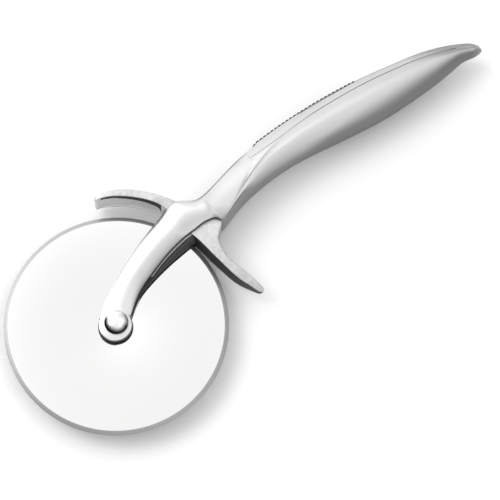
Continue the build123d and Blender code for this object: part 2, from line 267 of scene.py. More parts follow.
# Each row: how far along the arm or the grip, top edge, its half width, crown of the face,
# crease, its half width, pull of the belly, bottom.
arm_shares = np.array([
    (-0.085, 0.211, 0.374, 0.037, -0.075, 0.374, 0.336, -0.086),
    (0.016, 0.380, 0.393, 0.047, -0.143, 0.393, 0.346, -0.158),
    (0.114, 0.504, 0.421, 0.056, -0.053, 0.411, 0.364, -0.068),
    (0.229, 0.632, 0.467, 0.075, 0.113, 0.458, 0.411, 0.098),
    (0.392, 0.778, 0.561, 0.093, 0.248, 0.579, 0.505, 0.229),
    (0.588, 0.902, 0.692, 0.112, 0.335, 0.748, 0.636, 0.308),
    (0.768, 1.000, 0.785, 0.131, 0.357, 0.850, 0.729, 0.323),
    (0.879, 1.049, 0.813, 0.140, 0.338, 0.888, 0.766, 0.301),
    (0.935, 0.974, 0.794, 0.131, 0.308, 0.897, 0.776, 0.271),
])
grip_shares = np.array([
    (0.000, 0.868, 0.776, 0.112, 0.274, 0.897, 0.794, 0.241),
    (0.035, 0.835, 0.757, 0.093, 0.286, 0.888, 0.822, 0.241),
    (0.080, 0.868, 0.720, 0.075, 0.380, 0.879, 0.897, 0.308),
    (0.140, 0.932, 0.673, 0.056, 0.519, 0.869, 1.028, 0.372),
    (0.190, 0.974, 0.636, 0.042, 0.635, 0.860, 1.112, 0.395),
    (0.250, 0.996, 0.598, 0.031, 0.744, 0.836, 1.187, 0.398),
    (0.340, 0.996, 0.556, 0.021, 0.812, 0.818, 1.234, 0.357),
    (0.440, 0.968, 0.537, 0.019, 0.805, 0.804, 1.252, 0.248),
    (0.540, 0.914, 0.523, 0.019, 0.756, 0.780, 1.243, 0.132),
    (0.640, 0.835, 0.505, 0.019, 0.680, 0.748, 1.206, 0.041),
    (0.740, 0.711, 0.467, 0.019, 0.568, 0.692, 1.121, 0.004),
    (0.830, 0.583, 0.430, 0.019, 0.444, 0.626, 0.981, -0.008),
    (0.910, 0.414, 0.383, 0.019, 0.282, 0.533, 0.766, 0.015),
    (0.935, 0.346, 0.355, 0.017, 0.214, 0.486, 0.664, 0.019),
    (0.960, 0.267, 0.327, 0.015, 0.139, 0.430, 0.551, -0.011),
    (0.983, 0.180, 0.280, 0.012, 0.075, 0.355, 0.421, -0.041),
    (1.000, 0.086, 0.168, 0.006, 0.034, 0.196, 0.215, -0.034),
])
belly_start_share, belly_end_share = 0.45, 0.72
# The lower edge of the polished face: it runs along the arm, over the guard's root as an arch,
# and down to the neck. Distance from the axle and height.
face_edge = np.array([
    (8.0, -0.4), (16.0, 4.5), (24.8, 7.45), (33.6, 9.75), (41.7, 11.1), (49.1, 11.6),
    (54.0, 11.5), (59.0, 11.45), (62.0, 10.75), (64.3, 9.2), (65.4, 7.2),
]) * mm
arch_start = 51.2 * mm
arch_depth = 1.6 * mm
# How far the face rolls back towards that edge, by distance from the axle.
roll_line = np.array([
    (-9, 0.0), (0, 0.1), (6, 0.5), (12, 1.3), (20, 2.3), (30, 2.6), (40, 2.2), (50, 1.4),
    (58, 1.1), (64, 1.0), (70, 0.5), (80, 0.0), (220, 0.0),
]) * mm
roll_start_share = 0.35
roll_limit = 0.985
# How far the arm's dark side reaches below the swept bottom.
arm_deepening = np.array([
    (8, 0.0), (16, 0.5), (25, 1.0), (34, 1.3), (42, 1.3), (50, 0.9), (58, 0.0),
]) * mm
# Under the polished face runs a small ledge and a deep groove. Both fade in and out.
ledge_width = 0.7 * mm
ledge_drop = 2.1 * mm
ledge_fades_in = 4 * mm, 9 * mm
ledge_fades_out = 64.9 * mm, 65.5 * mm
# Softening of the face's upper and lower edges, by distance from the axle.
upper_soft = np.array([(-2, 0.5), (6, 1.2), (12, 2.2), (50, 2.6), (62, 1.8), (75, 1.0)]) * mm
lower_soft = np.array([
    (0, 0.2), (20, 0.35), (63, 0.35), (66, 0.3), (76, 0.5), (90, 2.5), (120, 1.2),
]) * mm
seat_soft = 0.3 * mm
ledge_soft = 0.12 * mm


def curve_through(knots, values, at):
    """The natural cubic spline: cubics that meet with equal slope and bend at every knot."""
    gap = np.diff(knots)[:, None]
    slope = np.diff(values, axis=0) / gap
    inner = (gap[:-1] + gap[1:]).ravel() * 2
    system = np.diag(np.r_[1, inner, 1])
    system += np.diag(np.r_[0, gap[1:, 0]], 1) + np.diag(np.r_[gap[:-1, 0], 0], -1)
    target = np.zeros_like(values)
    target[1:-1] = 6 * np.diff(slope, axis=0)
    bend = np.linalg.solve(system, target)
    k = np.clip(np.searchsorted(knots, at) - 1, 0, len(knots) - 2)
    width = gap[k]
    after = (at - knots[k])[:, None] / width
    before = 1 - after
    return (before * values[k] + after * values[k + 1]
            + ((before ** 3 - before) * bend[k] + (after ** 3 - after) * bend[k + 1]) * width ** 2 / 6)


def circle_through(three):
    """Middle and radius of the circle through three points of a plane."""
    (ax, ay), (bx, by), (cx, cy) = three
    system = 2 * np.array([(bx - ax, by - ay), (cx - ax, cy - ay)])
    target = np.array([bx ** 2 - ax ** 2 + by ** 2 - ay ** 2, cx ** 2 - ax ** 2 + cy ** 2 - ay ** 2])
    middle = np.linalg.solve(system, target)
    return middle, np.hypot(*(middle - (ax, ay)))


def body_rows(x):
    """The body's sizes at distances from the axle, each column in metres."""
    knots = np.r_[arm_shares[:, 0] * shoulder_radius, shoulder_radius + grip_shares[:, 0] * grip_length]
    scale = np.array([crest_height, grip_half_width, grip_half_width, crest_height, grip_half_width,
                      grip_half_width, crest_height])
    values = np.vstack([arm_shares, grip_shares])[:, 1:] * scale
    return curve_through(knots, values, x).T


def seat_height(x):
    """Height of the strip's seat: the crease and a small lift, easing up at the strip's start."""
    start = shoulder_radius + strip_start_share * grip_length
    share = grip_shares[(grip_shares[:, 0] > 0.3) & (grip_shares[:, 0] < tail_share)]
    knots = np.r_[start, shoulder_radius + share[:, 0] * grip_length]
    heights = np.r_[crest_height - strip_depth, share[:, 4] * crest_height + seat_lift]
    return curve_through(knots, heights[:, None], x)[:, 0]


def rounded_loop(sides, radii, counts, fillet=5):
    """A closed loop of curved sides whose corners are cut back by a radius and bridged by a
    quadratic curve that leans on the corner. A side is a function of shares from 0 to 1."""
    lengths = []
    for side in sides:
        ends = side(np.array([[0.0, 1.0]]))
        lengths.append(np.hypot(*(np.diff(part, axis=1)[:, 0] for part in ends)) + 1e-9)
    loop = []
    for k, side in enumerate(sides):
        ahead = (k + 1) % len(sides)
        start = np.minimum(radii[k] / lengths[k], 0.45)[:, None]
        stop = 1 - np.minimum(radii[ahead] / lengths[k], 0.45)[:, None]
        loop.append(np.stack(side(start + (stop - start) * np.linspace(0, 1, counts[k])[None]), -1))
        nearby = np.minimum(radii[ahead] / lengths[ahead], 0.45)[:, None]
        first = np.stack(side(stop), -1)
        tip = np.stack(side(np.ones_like(stop)), -1)
        last = np.stack(sides[ahead](nearby), -1)
        t = np.linspace(0, 1, fillet + 2)[1:-1][None, :, None]
        loop.append(first * (1 - t) ** 2 + tip * 2 * t * (1 - t) + last * t ** 2)
    return np.concatenate(loop, axis=1)


def tube_faces(rings, around, first=0):
    """Quads between neighbouring closed rings of a grid, and a fan over each end ring."""
    u, v = np.meshgrid(np.arange(rings - 1), np.arange(around), indexing="ij")
    w = (v + 1) % around
    quads = np.stack([u * around + v, u * around + w, (u + 1) * around + w, (u + 1) * around + v], -1)
    ring = np.arange(around)
    start_tip, end_tip = np.full(around, rings * around), np.full(around, rings * around + 1)
    start = np.stack([start_tip, (ring + 1) % around, ring], -1)
    last = (rings - 1) * around
    end = np.stack([end_tip, last + ring, last + (ring + 1) % around], -1)
    return [*(quads.reshape(-1, 4) + first).tolist(), *(start + first).tolist(), *(end + first).tolist()]


def add_tube(name, grids, material, flip=False, shading_grids=None):
    """One mesh of closed tubes, each a grid of rings whose ends are closed by a fan."""
    points, faces, painted_shading = [], [], []
    for k, rings in enumerate(grids):
        first = sum(len(part) for part in points)
        faces += tube_faces(*rings.shape[:2], first)
        points.append(np.vstack([rings.reshape(-1, 3), rings[0].mean(0), rings[-1].mean(0)]))
        if shading_grids is not None:
            painted_shading.append(np.r_[shading_grids[k].ravel(), shading_grids[k][0].mean(), shading_grids[k][-1].mean()])
    if flip:
        faces = [face[::-1] for face in faces]
    lifted = np.vstack(points) + (0, 0, axle_height)
    return add_mesh(name, lifted, faces, material, np.concatenate(painted_shading) if painted_shading else None)


def smooth_most(a, b, reach):
    """The larger of two heights, with a fillet of about the reach where they cross."""
    return (a + b + np.sqrt((a - b) ** 2 + reach ** 2)) / 2


def ramp(x, start, end):
    """0 before start, 1 after end, with a smooth slope between them."""
    t = np.clip((x - start) / (end - start), 0, 1)
    return t * t * (3 - 2 * t)


class Section:
    """The cross-sections of the front half at distances from the axle, as columns."""

    def __init__(self, x):
        top, top_width, crown, crease, crease_width, pull, bottom = body_rows(x)
        chord = np.sqrt(np.clip(ear_radius ** 2 - (x - ear_middle[0]) ** 2, 0, None))
        ear = x < ear_middle[0] + ear_radius * 0.98
        inside = x < arm_shares[0, 0] * shoulder_radius
        high, low = ear_middle[1] + chord, ear_middle[1] - chord
        fade = np.clip((x - ear_middle[0] + ear_radius) / (4 * mm), 0, 1)
        ear_top = np.where(inside, high, smooth_most(top, high, 0.2 * mm * fade))
        ear_bottom = np.where(inside, low, -smooth_most(-bottom, -low, 0.8 * mm * fade))
        top, bottom = np.where(ear, ear_top, top), np.where(ear, ear_bottom, bottom)
        ear_crease = np.where(inside, bottom + 0.02 * mm, np.minimum(crease, bottom + 0.3 * mm))
        crease = np.where(ear, ear_crease, crease)
        edged = (x > face_edge[0, 0]) & (x < face_edge[-1, 0])
        within = np.clip(x, *face_edge[[0, -1], 0])
        line = curve_through(face_edge[:, 0], face_edge[:, 1:], within)[:, 0]
        line = crease + (line - crease) * ramp(x, face_edge[0, 0], face_edge[2, 0])
        crease = np.where(edged, line, crease)
        bottom = bottom - np.interp(x, *arm_deepening.T)
        arched = (x > arch_start) & (x < face_edge[-1, 0])
        bottom = np.where(arched, np.maximum(bottom, crease - arch_depth), bottom)
        pull = np.where(arched, crease_width, pull)
        self.x = x[:, None]
        self.top, self.top_width, self.crown = top[:, None], top_width[:, None], crown[:, None]
        self.crease, self.crease_width = crease[:, None], crease_width[:, None]
        self.pull, self.bottom = pull[:, None], bottom[:, None]
        self.seat = seat_height(x)[:, None]
        slotted = np.hypot(x, (top + bottom) / 2) < web_radius + 2 * mm
        self.inner = np.where(slotted, arm_gap_half, 0.0)[:, None]
        self.roll = np.interp(x, *roll_line.T)[:, None]

    def face(self, height):
        """Half width of the crowned face at a height: a straight slope and a parabola."""
        t = np.clip((self.top - height) / np.maximum(self.top - self.crease, 1e-6), 0, 1)
        fall = np.clip((t - roll_start_share) / (1 - roll_start_share), 0, 1) * roll_limit
        return (self.top_width * (1 - t) + self.crease_width * t + self.crown * 4 * t * (1 - t)
                - self.roll * (1 - np.sqrt(1 - fall ** 2)))

    def belly(self, t):
        """The belly's cubic curve, from the crease at 0 to the middle plane at 1."""
        side = self.crease - belly_start_share * (self.crease - self.bottom)
        height = (self.crease * (1 - t) ** 3 + side * 3 * t * (1 - t) ** 2
                  + self.bottom * (3 * t ** 2 * (1 - t) + t ** 3))
        out = ((self.crease_width - self.roll * 0.83) * (1 - t) ** 3 + self.pull * 3 * t * (1 - t) ** 2
               + self.pull * belly_end_share * 3 * t ** 2 * (1 - t))
        return height, np.maximum(out, self.inner)


# How much painted shade the seams and creases of the plating get. Between 0.6 and 0.8 it gives
# way to the side painted dark as deep shade.
seam_shade = 0.68
seam_fades_in = 92 * mm, 150 * mm
frame_seam_fades_in = 120 * mm, 150 * mm
crease_shade = 0.20
neck_fades_in = 65.5 * mm, 66.5 * mm
neck_fades_out = 84 * mm, 92 * mm
groove_fades_out = 65 * mm, 66.5 * mm
dark_side_fades_out = 62.6 * mm, 63.4 * mm
# The side of the ear, painted dark as shade: its ends and how far it reaches in from the ear's outline.
ear_side_start = 3.5 * mm
ear_side_end = 6 * mm
ear_side_depth = 0.2 * mm
# Painted shade on the upper slope of the belly beside the crease, from the neck to where the crease fades.
valley_shade = [(66, 0.0), (76, 0.20), (92, 0.20), (104, 0.09), (114, 0.0)]
# Painted shade on the belly side at its most, and the tilts at which that starts and is full, in degrees.
belly_shade = [
    (0, 0.0), (20, 0.30), (60, 0.30), (66, 0.36), (105, 0.34), (130, 0.39), (207, 0.42), (213, 0.30),
]
belly_starts = [
    (0, -5), (45, -5), (50, 35), (60, 35), (66, -30), (72, -5), (80, -5), (88, 35), (116, 38),
    (130, 30), (150, 5), (185, -15), (207, -30), (213, 35),
]
belly_full = [
    (0, 60), (60, 60), (66, 45), (74, 45), (80, 60), (88, 80), (116, 80), (130, 65), (213, 65),
]
# Painted shade on the spine side at its most, and the tilt at which that is full.
spine_shade = [
    (-4, 0.15), (8, 0.12), (58, 0.12), (66, 0.45), (88, 0.45), (96, 0.0), (178, 0.0),
    (185, 0.25), (213, 0.25),
]
spine_full = [(0, 60), (185, 60), (198, 20)]
# A faint band of painted shade on the face itself, and the tilt of its middle.
band_shade = [
    (45, 0.03), (50, 0.12), (62, 0.12), (66, 0.20), (80, 0.12), (96, 0.07), (198, 0.07), (213, 0.0),
]
band_tilt = [(62, 15), (66, -15), (213, -20)]
band_reach = 25


def along_body(line, x):
    """A line's value at distances from the axle, as a column. The line's distances are in mm."""
    return np.interp(x / mm, *np.array(line).T)[:, None]


def tilt_shade(loop, x):
    """How much painted shade each point of the rings gets: it grows with the tilt of the ring's
    outward normal away from the front, towards the belly and towards the spine."""
    ahead = np.roll(loop, -1, axis=1) - np.roll(loop, 1, axis=1)
    tilt = np.degrees(np.arctan2(-ahead[..., 1], -ahead[..., 0]))
    starts, full = along_body(belly_starts, x), along_body(belly_full, x)
    below = along_body(belly_shade, x) * ramp(tilt, starts, full)
    above = along_body(spine_shade, x) * ramp(-tilt, 0, along_body(spine_full, x))
    near = np.clip(1 - np.abs(tilt - along_body(band_tilt, x)) / band_reach, 0, 1)
    band = along_body(band_shade, x) * near
    return np.maximum(below + above, band)


def half_rings(x, has_strip):
    """Rings of the front half: over the spine, down the crowned face, over the small ledge
    under the fork arm, round the belly, and back up the flat inner side."""
    cut = Section(x)
    high = cut.seat if has_strip else cut.top
    ridge = cut.seat if has_strip else cut.top + spine_crown
    edge = cut.face(high)
    ledge = (ramp(x, *ledge_fades_in) * (1 - ramp(x, *ledge_fades_out)))[:, None]
    step, drop = ledge_width * ledge, ledge_drop * ledge
    low = cut.crease + 0 * step

    def roof(t):
        return ridge * (1 - t) + high * t, cut.inner * (1 - t) + edge * t

    def flank(t):
        height = high * (1 - t) + low * t
        return height, cut.face(height)

    def fall(t):
        return low + 0 * t, cut.face(low) - drop * t

    def shelf(t):
        return low - step * t, cut.face(low) - drop + 0 * t

    def belly(t):
        height, out = cut.belly(t)
        return height - step * (1 - t), np.maximum(out - drop * (1 - t), cut.inner)

    def inside(t):
        return cut.bottom * (1 - t) + ridge * t, cut.inner + 0 * t

    none = 0 * x
    top_round = none + seat_soft if has_strip else np.interp(x, *upper_soft.T)
    low_round = np.interp(x, *lower_soft.T)
    tiny = none + ledge_soft
    sides = [roof, flank, fall, shelf, belly, inside]
    counts = [9, 40, 3, 3, 52, 4]
    loop = rounded_loop(sides, [none, top_round, low_round, tiny * 0.3, tiny, none], counts)
    y, z = loop[..., 0], loop[..., 1]
    out = np.broadcast_to(x[:, None], y.shape)
    reach = np.hypot(out - ear_middle[0], y - ear_middle[1])
    depth = np.clip((ear_radius - reach) / ear_edge_round, 0, 1)
    lid = ear_half_height - ear_edge_round * (1 - np.sqrt(1 - (1 - depth) ** 2))
    flat = spotface_height + np.clip(np.hypot(out, y) - spotface_radius, 0, None) * 0.5
    cap = np.where(out < ear_middle[0], np.minimum(lid, flat), np.where(reach < ear_radius, flat, 1))
    z = np.where(z > arm_gap_half + 0.01 * mm, np.minimum(z, np.maximum(cap, arm_gap_half)), z)
    parts = [9 + 5, 40, 5 + 3 + 5, 3 + 5, 52 + 5, 4 + 5]

    def on_parts(*shares):
        return np.repeat(shares, parts)[None]

    # Painted shade: a dark line in the groove under the ledge, the side under the arm painted dark, a darker
    # crease at the neck, the seam beside the strip, the ear's side, the valley beside the crease, and shade
    # by tilt.
    groove = on_parts(0, 0, 1, 0, 0, 0) * (1 - ramp(x, *groove_fades_out))[:, None]
    dark_side = on_parts(0, 0, 0, 0, 1, 1) * (1 - ramp(x, *dark_side_fades_out))[:, None]
    neck = ramp(x, *neck_fades_in) * (1 - ramp(x, *neck_fades_out))
    crease = on_parts(0, 0, crease_shade, crease_shade, 0, 0) * neck[:, None]
    side = np.maximum(np.maximum(groove, dark_side), crease)
    if has_strip:
        seam = np.repeat([0, seam_shade, 0], [9, 5, side.shape[1] - 14])[None]
        side = np.maximum(side, seam * ramp(x, *seam_fades_in)[:, None])
    around_ear = (out < ear_side_end) & (reach > ear_radius - ear_side_depth)
    around_ear &= z < spotface_height - ear_edge_round * 0.9
    around_ear &= (out < ear_middle[0] - ear_side_start) | (y < ear_middle[1])
    facing = np.roll(z, -1, axis=1) - np.roll(z, 1, axis=1) > 0
    valley = along_body(valley_shade, x) * on_parts(0, 0, 0, 0, 1, 0) * facing
    painted_shading = np.maximum(np.maximum(side, around_ear), np.maximum(tilt_shade(loop, x), valley))
    return np.stack([out, y, z], -1), painted_shading


# The arms are a lighter tone and a little smoother than the grip, and the change runs along the neck.
arm_tone = (0.70, 0.70, 0.70, 1)
grip_tone = (0.58, 0.58, 0.58, 1)
# Painted shade: the per-point value darkens the plating up to 0.5, and from 0.6 to 0.8 turns it into a dark,
# non-metal side that stands for deep shade.
painted_shade_tone = (0.10, 0.10, 0.10, 1)
deep_shade_tone = (0.06, 0.06, 0.061, 1)
grip_finish = 0.062, 0.100
deep_shade_from = 0.6, 0.8
satin, satin_nodes, satin_shader = new_finish("satin_plating", Specular_IOR_Level=0.08)
where, (along, _, _) = satin_nodes.places()
grain = satin_nodes.node("TexNoise", Vector=where, Scale=900.0, Detail=2.0)
drift = satin_nodes.node("TexNoise", Vector=where, Scale=40.0, Detail=2.0)
on_grip = along.step(*grip_finish)
shading_mark = satin_nodes.value(satin_nodes.node("Attribute", {"attribute_name": "painted_shading"}).outputs["Fac"])
uneven = satin_nodes.value(drift.outputs[0]) + satin_nodes.value(grain.outputs[0])
rough = uneven * 0.04 + on_grip * 0.04 + 0.31
connect(satin.node_tree, satin_shader.inputs["Roughness"], rough)
connect(satin.node_tree, satin_shader.inputs["Metallic"], 1 - shading_mark.step(*deep_shade_from))
tone = satin_nodes.mix(on_grip.socket, arm_tone, grip_tone)
tone = satin_nodes.mix((shading_mark * 2).socket, tone, painted_shade_tone)
satin_colour = satin_nodes.mix(shading_mark.step(*deep_shade_from).socket, tone, deep_shade_tone)
connect(satin.node_tree, satin_shader.inputs["Base Color"], satin_colour)

shell_end = shoulder_radius + tail_share * grip_length
strip_start = shoulder_radius + strip_start_share * grip_length
# Where the rings stand: close round the ear and over the arch, wider along the grip.
arch_zone = 46 * mm, 72 * mm
joint_gap = 0.02 * mm
x_ear = ear_middle[0] - ear_radius * np.cos(np.linspace(0.03, 2.6, 80))
x_arm = np.linspace(x_ear[-1], arch_zone[0], 110)[1:]
x_arch = np.linspace(*arch_zone, 120)[1:]
x_neck = np.linspace(arch_zone[1], strip_start - joint_gap, 50)[1:]
x_grip = np.linspace(strip_start + joint_gap, shell_end - joint_gap, 160)
plain, plain_shading = half_rings(np.concatenate([x_ear, x_arm, x_arch, x_neck]), False)
seated, seated_shading = half_rings(x_grip, True)
half_points, half_shading = np.vstack([plain, seated]), np.vstack([plain_shading, seated_shading])
front = add_tube("handle_front", [half_points], satin, shading_grids=[half_shading])
back = add_tube("handle_back", [half_points * (1, 1, -1)], satin, flip=True, shading_grids=[half_shading])
for half, node in ((front, "front_shell"), (back, "back_shell")):
    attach(half, "root")
    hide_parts(node)

# Spine strip and tail
# A casting in the same satin plating that closes the handle along its spine, makes the whole
# tail, and carries the raised frame of the thumb grip.
pad_shares = (0.25, 0.44, 0.64)
pad_lift_shares = (1.0, 0.8, 0.3)
bezel_lift = 1.1 * mm
bezel_half_width = 4.6 * mm
spine_soft = 0.55 * mm
foot_soft = 0.25 * mm
tail_soft = 0.6 * mm
pad_corner_share = 0.8
pad_places = [(shoulder_radius + share * grip_length,
               grip_shares[grip_shares[:, 0] == share][0, 1] * crest_height + bezel_lift * lift)
              for share, lift in zip(pad_shares, pad_lift_shares)]
pad_middle, pad_radius = circle_through(pad_places)


def placed_rings(loop, x):
    """Rings of heights and half widths, each put at its distance from the axle."""
    return np.concatenate([np.broadcast_to(x[:, None, None], (*loop.shape[:2], 1)), loop], -1)


def strip_rings(x):
    """Rings of the spine strip: over the crowned spine and down both sides to its seat."""
    cut = Section(x)

    def roof(t):
        across = 2 * t - 1
        return cut.top + spine_crown * (1 - np.abs(across)), cut.top_width * across

    def front(t):
        height = cut.top * (1 - t) + cut.seat * t
        return height, cut.face(height)

    def base(t):
        return cut.seat + 0 * t, cut.face(cut.seat) * (1 - 2 * t)

    def back(t):
        height = cut.seat * (1 - t) + cut.top * t
        return height, -cut.face(height)

    turn, line = 0 * x + spine_soft, 0 * x + foot_soft
    loop = rounded_loop([roof, front, base, back], [turn, turn, line, line], [17, 16, 5, 16])
    # Painted shade along the seams where the strip meets the shells, then shade by tilt.
    seams = np.repeat([0, 1, 0, 1, 0, 1], [17, 5, 16, 15, 16, 5])[None] * seam_shade
    beside_roof = np.arange(seams.shape[1]) % 52 < 22
    outer_edge = np.where(beside_roof, ramp(x, *frame_seam_fades_in)[:, None], 1)
    seams = seams * outer_edge * ramp(x, *seam_fades_in)[:, None]
    return placed_rings(loop, x), np.maximum(tilt_shade(loop, x), seams)


def tail_rings(x):
    """Rings of the solid tail: the whole body's section, front and back."""
    cut = Section(x)

    def roof(t):
        across = 2 * t - 1
        return cut.top + spine_crown * (1 - np.abs(across)), cut.top_width * across

    def front(t):
        height = cut.top * (1 - t) + cut.crease * t
        return height, cut.face(height)

    def back(t):
        height, out = front(1 - t)
        return height, -out

    def under(t):
        height, out = cut.belly(1 - t)
        return height, -out

    turn, line = 0 * x + spine_soft, 0 * x + tail_soft
    sides = [roof, front, cut.belly, under, back]
    loop = rounded_loop(sides, [turn, turn, line, 0 * x, line], [17, 16, 26, 26, 16])
    return placed_rings(loop, x), tilt_shade(loop, x)


def pad_level(x):
    """Height of the arc that the thumb grip follows."""
    return pad_middle[1] + np.sqrt(pad_radius ** 2 - (x - pad_middle[0]) ** 2)


def frame_plan(margin):
    """Plan of the thumb grip's frame, a margin inside it: straight sides and round corners."""
    start, end = pad_places[0][0] + margin, pad_places[-1][0] - margin
    width = bezel_half_width - margin
    corner = width * pad_corner_share
    line = np.linspace(0, 1, 70)[:-1]
    quarter = np.linspace(0, pi / 2, 9)[:-1]
    inner_x, inner_z = (start + corner, end - corner), width - corner
    x = [inner_x[0] + (inner_x[1] - inner_x[0]) * line, inner_x[1] + corner * np.sin(quarter),
         np.full(5, end), inner_x[1] + corner * np.cos(quarter),
         inner_x[1] - (inner_x[1] - inner_x[0]) * line, inner_x[0] - corner * np.sin(quarter),
         np.full(5, start), inner_x[0] - corner * np.cos(quarter)]
    side = np.linspace(1, -1, 6)[:-1] * inner_z
    z = [np.full(69, width), inner_z + corner * np.cos(quarter), side, -inner_z - corner * np.sin(quarter),
         np.full(69, -width), -inner_z - corner * np.cos(quarter), -side, inner_z + corner * np.sin(quarter)]
    return np.concatenate(x), np.concatenate(z)


# The frame's section: how far inside its outline, and how high over the grip's arc, in mm.
frame_profile = [
    (0.0, -1.7), (0.0, -1.0), (0.0, -0.6), (0.08, -0.38), (0.25, -0.26), (0.5, -0.23),
    (0.7, -0.26), (0.84, -0.35), (0.9, -0.5), (0.9, -1.0), (0.9, -1.7),
]
loops = []
for margin, rise in frame_profile:
    x, z = frame_plan(margin * mm)
    loops.append(np.stack([x, pad_level(x) + rise * mm, z], -1))
frame_grid = np.stack(loops, 1)
strip_x = np.linspace(strip_start + joint_gap, shell_end, 170)
tail_x = shell_end + (shoulder_radius + grip_length - shell_end) * np.sin(np.linspace(0, pi / 2, 50))
bar, bar_shading = strip_rings(strip_x)
tail, tail_shading = tail_rings(tail_x)
strip = add_tube("spine_strip_and_tail", [bar, tail], satin, shading_grids=[bar_shading, tail_shading])


def add_ring_grid(name, grid, material, painted_shading=None):
    """A closed ring of closed sections, as a grid that wraps both ways."""
    around, along = grid.shape[:2]
    u, v = np.meshgrid(np.arange(around), np.arange(along), indexing="ij")
    u2, v2 = (u + 1) % around, (v + 1) % along
    faces = np.stack([u * along + v, u2 * along + v, u2 * along + v2, u * along + v2], -1).reshape(-1, 4)
    painted_shading = painted_shading if painted_shading is None else painted_shading.ravel()
    return add_mesh(name, grid.reshape(-1, 3) + (0, 0, axle_height), faces.tolist(), material, painted_shading)


plan_x = frame_grid[:, 0, 0]
# Painted shade along the frame's foot, where it meets the grip.
foot = frame_grid[..., 1] - Section(plan_x).top < 0.3 * mm
bezel = add_ring_grid("thumb_grip_frame", frame_grid, satin, foot * seam_shade)
for piece in (strip, bezel):
    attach(piece, "root")
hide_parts("spine_strip")

# Guard
# One matte casting let into the fork: a long prong over the rim, hollow on its inner side, a
# short pointed tongue below, and between them the root that shows under the arch.
guard_edge = 0.55 * mm
# The prong: angle about the axle, inner and outer distance from it.
prong_line = np.array([
    (62.2, 57.6, 58.7), (61.9, 57.0, 59.2), (61.0, 56.8, 59.55), (59.0, 57.2, 59.9), (56.0, 57.6, 60.35),
    (52.0, 57.7, 60.8), (48.0, 57.7, 61.05), (43.0, 57.6, 61.2), (38.0, 57.5, 61.2), (33.0, 57.1, 61.2),
    (29.0, 56.2, 61.2), (24.0, 54.6, 61.0), (17.0, 52.6, 60.6),
])
# The root and the tongue: a point of the inner side and one of the outer side.
tongue_line = np.array([
    (51.5, 8.8, 65.9, 8.0), (51.9, 6.4, 63.5, 5.6), (52.2, 4.0, 60.9, 3.8),
    (52.5, 1.2, 58.7, 1.2), (52.75, -1.8, 57.7, -1.9), (53.15, -5.2, 57.25, -5.4),
    (53.6, -8.8, 57.5, -9.0), (54.2, -13.0, 58.3, -12.8), (55.4, -18.4, 59.8, -17.8),
    (57.2, -23.0, 60.9, -22.5), (58.6, -26.4, 61.6, -26.0), (59.5, -27.8, 61.75, -27.6),
    (60.2, -28.3, 61.4, -28.3),
])
# Along the casting from the prong's tip at 0 to the tongue's at 1: half its width, how deep its
# inner side is pressed in, and how far down the painted shade under the front flange reaches.
half_width_line = [
    (0.0, 6.6), (0.012, 7.2), (0.04, 7.8), (0.10, 8.2), (0.30, 8.4), (0.40, 8.0), (0.46, 7.3),
    (0.55, 7.3), (0.62, 7.7), (0.72, 7.5), (0.84, 6.6), (0.93, 4.6), (0.98, 2.6), (1.0, 1.4),
]
pocket_depth_line = [
    (0.0, 0.0), (0.025, 0.0), (0.05, 0.8), (0.10, 1.2), (0.305, 1.2), (0.322, 1.0),
    (0.332, 0.4), (0.337, 0.0), (1.0, 0.0),
]
groove_line = [
    (0.0, 8.0), (0.03, 4.5), (0.06, 2.2), (0.12, 0.9), (0.22, 0.0), (0.30, -1.5),
    (0.36, -4.0), (1.0, -4.0),
]
# Where the painted light on the prong's tip inside ends, and where the inner side turns from painted light
# to painted shade.
painted_light_tip = 0.05, 0.06
painted_shade_inside = 0.40, 0.42
pocket_soft = 1.0 * mm
pocket_wall = 0.8 * mm

cast_tones = (0.50, 0.50, 0.50, 1), (0.64, 0.64, 0.64, 1)
# Painted light and shade: a per-point value near 0.5 turns the casting into a pale, nearly non-metal tone
# that stands for light, and a value near 1 into a dark tone that stands for shade.
painted_light_tone = (0.92, 0.93, 0.92, 1)
shaded_tone = (0.055, 0.055, 0.056, 1)
painted_light_from = 0.2, 0.4
cast, cast_nodes, cast_shader = new_finish("cast_alloy", Specular_IOR_Level=0.08)
where, _ = cast_nodes.places()
pits = cast_nodes.node("TexNoise", Vector=where, Scale=700.0, Detail=3.0)
clouds = cast_nodes.node("TexNoise", Vector=where, Scale=150.0, Detail=2.0)
mottle = cast_nodes.value(pits.outputs[0]) * 0.5 + cast_nodes.value(clouds.outputs[0]) * 0.5
connect(cast.node_tree, cast_shader.inputs["Roughness"], mottle * 0.25 + 0.36)
shading_mark = cast_nodes.value(cast_nodes.node("Attribute", {"attribute_name": "painted_shading"}).outputs["Fac"])
painted_light = shading_mark.step(*painted_light_from)
connect(cast.node_tree, cast_shader.inputs["Metallic"], 0.75 - painted_light * 0.7)
tone = cast_nodes.mix(mottle.step(0.35, 0.65).socket, *cast_tones)
tone = cast_nodes.mix(painted_light.socket, tone, painted_light_tone)
cast_colour = cast_nodes.mix(shading_mark.step(*deep_shade_from).socket, tone, shaded_tone)
connect(cast.node_tree, cast_shader.inputs["Base Color"], cast_colour)
bump = cast_nodes.node("Bump", Height=mottle, Strength=0.08, Distance=0.0002)
connect(cast.node_tree, cast_shader.inputs["Normal"], bump.outputs[0])


